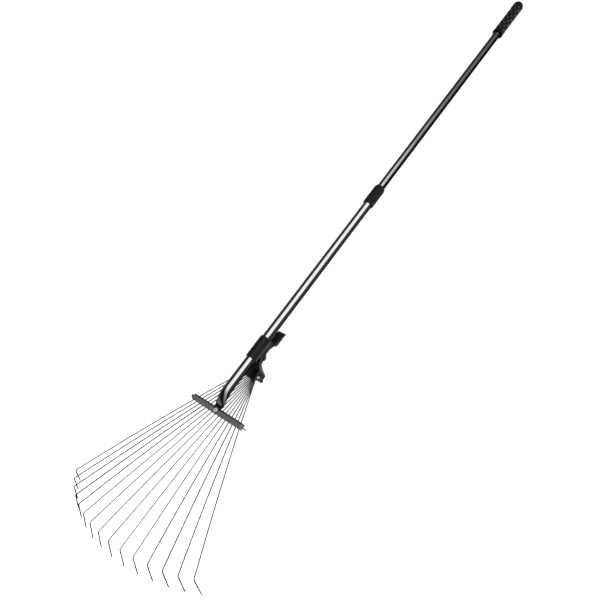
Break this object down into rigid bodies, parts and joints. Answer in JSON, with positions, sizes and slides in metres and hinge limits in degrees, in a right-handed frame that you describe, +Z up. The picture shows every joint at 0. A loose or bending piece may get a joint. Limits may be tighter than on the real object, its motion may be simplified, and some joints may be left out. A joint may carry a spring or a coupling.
{
  "type": "leaf rake",
  "caption": "Adjustable wire leaf rake: a sliding clamp opens or closes the fan of hooked wires through a slotted bar, on a telescopic handle with a twist lock and a rubber grip.",
  "frame": {"origin": "centre of the footprint of the bounding box, on the floor the rake lies on", "axes": "+X across the fan, +Y along the handle towards the grip, +Z up"},
  "size_m": [0.3844, 1.5922, 0.1087],
  "materials": {
    "lower_tube": "polished",
    "upper_tube": "polished",
    "guide_bush": "matte",
    "lock_insert": "matte",
    "lock_collar": "satin",
    "grip": "matte",
    "spreader_bar": "satin",
    "retaining_rod": "satin",
    "tab_rivet": "satin",
    "tine_carrier": "satin",
    "tine_hub": "satin",
    "hub_screws": "polished",
    "slider_body": "satin",
    "hub_pivot_pin": "satin",
    "lever_pin": "satin",
    "clamp_lever": "satin",
    "wire": "satin"
  },
  "bodies": {
    "handle": {"lower_tube": "lower_tube", "spreader_bar": "spreader_bar", "retaining_rod": "retaining_rod", "tab_rivet": "tab_rivet", "lock_insert": "lock_insert"},
    "extension": {"upper_tube": "upper_tube", "guide_bush": "guide_bush", "grip": "grip"},
    "collar": {"lock_collar": "lock_collar"},
    "slider": {"slider_body": "slider_body", "hub_pivot_pin": "hub_pivot_pin", "lever_pin": "lever_pin"},
    "lever": {"clamp_lever": "clamp_lever"},
    "hub": {"tine_hub": "tine_hub", "tine_carrier": "tine_carrier", "hub_screws": "hub_screws", "tine_08": "wire"},
    "wire_01": {"tine_01": "wire"},
    "wire_02": {"tine_02": "wire"},
    "wire_03": {"tine_03": "wire"},
    "wire_04": {"tine_04": "wire"},
    "wire_05": {"tine_05": "wire"},
    "wire_06": {"tine_06": "wire"},
    "wire_07": {"tine_07": "wire"},
    "wire_09": {"tine_09": "wire"},
    "wire_10": {"tine_10": "wire"},
    "wire_11": {"tine_11": "wire"},
    "wire_12": {"tine_12": "wire"},
    "wire_13": {"tine_13": "wire"},
    "wire_14": {"tine_14": "wire"},
    "wire_15": {"tine_15": "wire"}
  },
  "joints": [
    {"name": "fan_slide", "type": "slide", "parent": "handle", "child": "slider", "axis": [0, 0.9995, -0.0305], "range_m": [0, 0.218], "deforming": ["tine_01", "tine_02", "tine_03", "tine_04", "tine_05", "tine_06", "tine_07", "tine_08", "tine_09", "tine_10", "tine_11", "tine_12", "tine_13", "tine_14", "tine_15"]},
    {"name": "hub_pivot", "type": "hinge", "parent": "slider", "child": "hub", "pos_m": [0, -0.34709, 0.02332], "axis": [1, 0, 0], "range_deg": [0, 8.07]},
    {"name": "cam_lever", "type": "hinge", "parent": "slider", "child": "lever", "pos_m": [0, -0.32491, 0.0289], "axis": [-1, 0, 0], "range_deg": [0, 85]},
    {"name": "handle_telescope", "type": "slide", "parent": "handle", "child": "extension", "axis": [0, -0.9995, 0.0305], "range_m": [0, 0.425]},
    {"name": "collar_twist", "type": "hinge", "parent": "handle", "child": "collar", "pos_m": [0, 0.06546, 0.03536], "axis": [0, 0.9995, -0.0305], "range_deg": [0, 180]},
    {"name": "wire_01_swing", "type": "hinge", "parent": "hub", "child": "wire_01", "pos_m": [-0.0178, -0.39021, 0.02003], "axis": [-0.2988, 0.2565, 0.9192], "range_deg": [0, 18.18]},
    {"name": "wire_02_swing", "type": "hinge", "parent": "hub", "child": "wire_02", "pos_m": [-0.01526, -0.39033, 0.01605], "axis": [-0.2589, 0.2595, 0.9304], "range_deg": [0, 15.67]},
    {"name": "wire_03_swing", "type": "hinge", "parent": "hub", "child": "wire_03", "pos_m": [-0.01271, -0.39044, 0.01269], "axis": [-0.2178, 0.2622, 0.9401], "range_deg": [0, 13.12]},
    {"name": "wire_04_swing", "type": "hinge", "parent": "hub", "child": "wire_04", "pos_m": [-0.01017, -0.39052, 0.00993], "axis": [-0.1756, 0.2645, 0.9483], "range_deg": [0, 10.53]},
    {"name": "wire_05_swing", "type": "hinge", "parent": "hub", "child": "wire_05", "pos_m": [-0.00763, -0.39059, 0.00779], "axis": [-0.1325, 0.2663, 0.9548], "range_deg": [0, 7.92]},
    {"name": "wire_06_swing", "type": "hinge", "parent": "hub", "child": "wire_06", "pos_m": [-0.00509, -0.39063, 0.00626], "axis": [-0.0887, 0.2676, 0.9594], "range_deg": [0, 5.3]},
    {"name": "wire_07_swing", "type": "hinge", "parent": "hub", "child": "wire_07", "pos_m": [-0.00254, -0.39066, 0.00534], "axis": [-0.0445, 0.2684, 0.9623], "range_deg": [0, 2.68]},
    {"name": "wire_09_swing", "type": "hinge", "parent": "hub", "child": "wire_09", "pos_m": [0.00254, -0.39066, 0.00534], "axis": [-0.0445, -0.2684, -0.9623], "range_deg": [0, 2.68]},
    {"name": "wire_10_swing", "type": "hinge", "parent": "hub", "child": "wire_10", "pos_m": [0.00509, -0.39063, 0.00626], "axis": [-0.0887, -0.2676, -0.9594], "range_deg": [0, 5.3]},
    {"name": "wire_11_swing", "type": "hinge", "parent": "hub", "child": "wire_11", "pos_m": [0.00763, -0.39059, 0.00779], "axis": [-0.1325, -0.2663, -0.9548], "range_deg": [0, 7.92]},
    {"name": "wire_12_swing", "type": "hinge", "parent": "hub", "child": "wire_12", "pos_m": [0.01017, -0.39052, 0.00993], "axis": [-0.1756, -0.2645, -0.9483], "range_deg": [0, 10.53]},
    {"name": "wire_13_swing", "type": "hinge", "parent": "hub", "child": "wire_13", "pos_m": [0.01271, -0.39044, 0.01269], "axis": [-0.2178, -0.2622, -0.9401], "range_deg": [0, 13.12]},
    {"name": "wire_14_swing", "type": "hinge", "parent": "hub", "child": "wire_14", "pos_m": [0.01526, -0.39033, 0.01605], "axis": [-0.2589, -0.2595, -0.9304], "range_deg": [0, 15.67]},
    {"name": "wire_15_swing", "type": "hinge", "parent": "hub", "child": "wire_15", "pos_m": [0.0178, -0.39021, 0.02003], "axis": [-0.2988, -0.2565, -0.9192], "range_deg": [0, 18.18]}
  ],
  "couplings": [
    {"joint": "hub_pivot", "follows": "fan_slide", "rad_per_m": 0.64231},
    {"joint": "wire_01_swing", "follows": "fan_slide", "rad_per_m": 1.4514},
    {"joint": "wire_02_swing", "follows": "fan_slide", "rad_per_m": 1.2508},
    {"joint": "wire_03_swing", "follows": "fan_slide", "rad_per_m": 1.0463},
    {"joint": "wire_04_swing", "follows": "fan_slide", "rad_per_m": 0.83917},
    {"joint": "wire_05_swing", "follows": "fan_slide", "rad_per_m": 0.63038},
    {"joint": "wire_06_swing", "follows": "fan_slide", "rad_per_m": 0.42064},
    {"joint": "wire_07_swing", "follows": "fan_slide", "rad_per_m": 0.21042},
    {"joint": "wire_09_swing", "follows": "fan_slide", "rad_per_m": 0.21042},
    {"joint": "wire_10_swing", "follows": "fan_slide", "rad_per_m": 0.42064},
    {"joint": "wire_11_swing", "follows": "fan_slide", "rad_per_m": 0.63038},
    {"joint": "wire_12_swing", "follows": "fan_slide", "rad_per_m": 0.83917},
    {"joint": "wire_13_swing", "follows": "fan_slide", "rad_per_m": 1.0463},
    {"joint": "wire_14_swing", "follows": "fan_slide", "rad_per_m": 1.2508},
    {"joint": "wire_15_swing", "follows": "fan_slide", "rad_per_m": 1.4514}
  ]
}
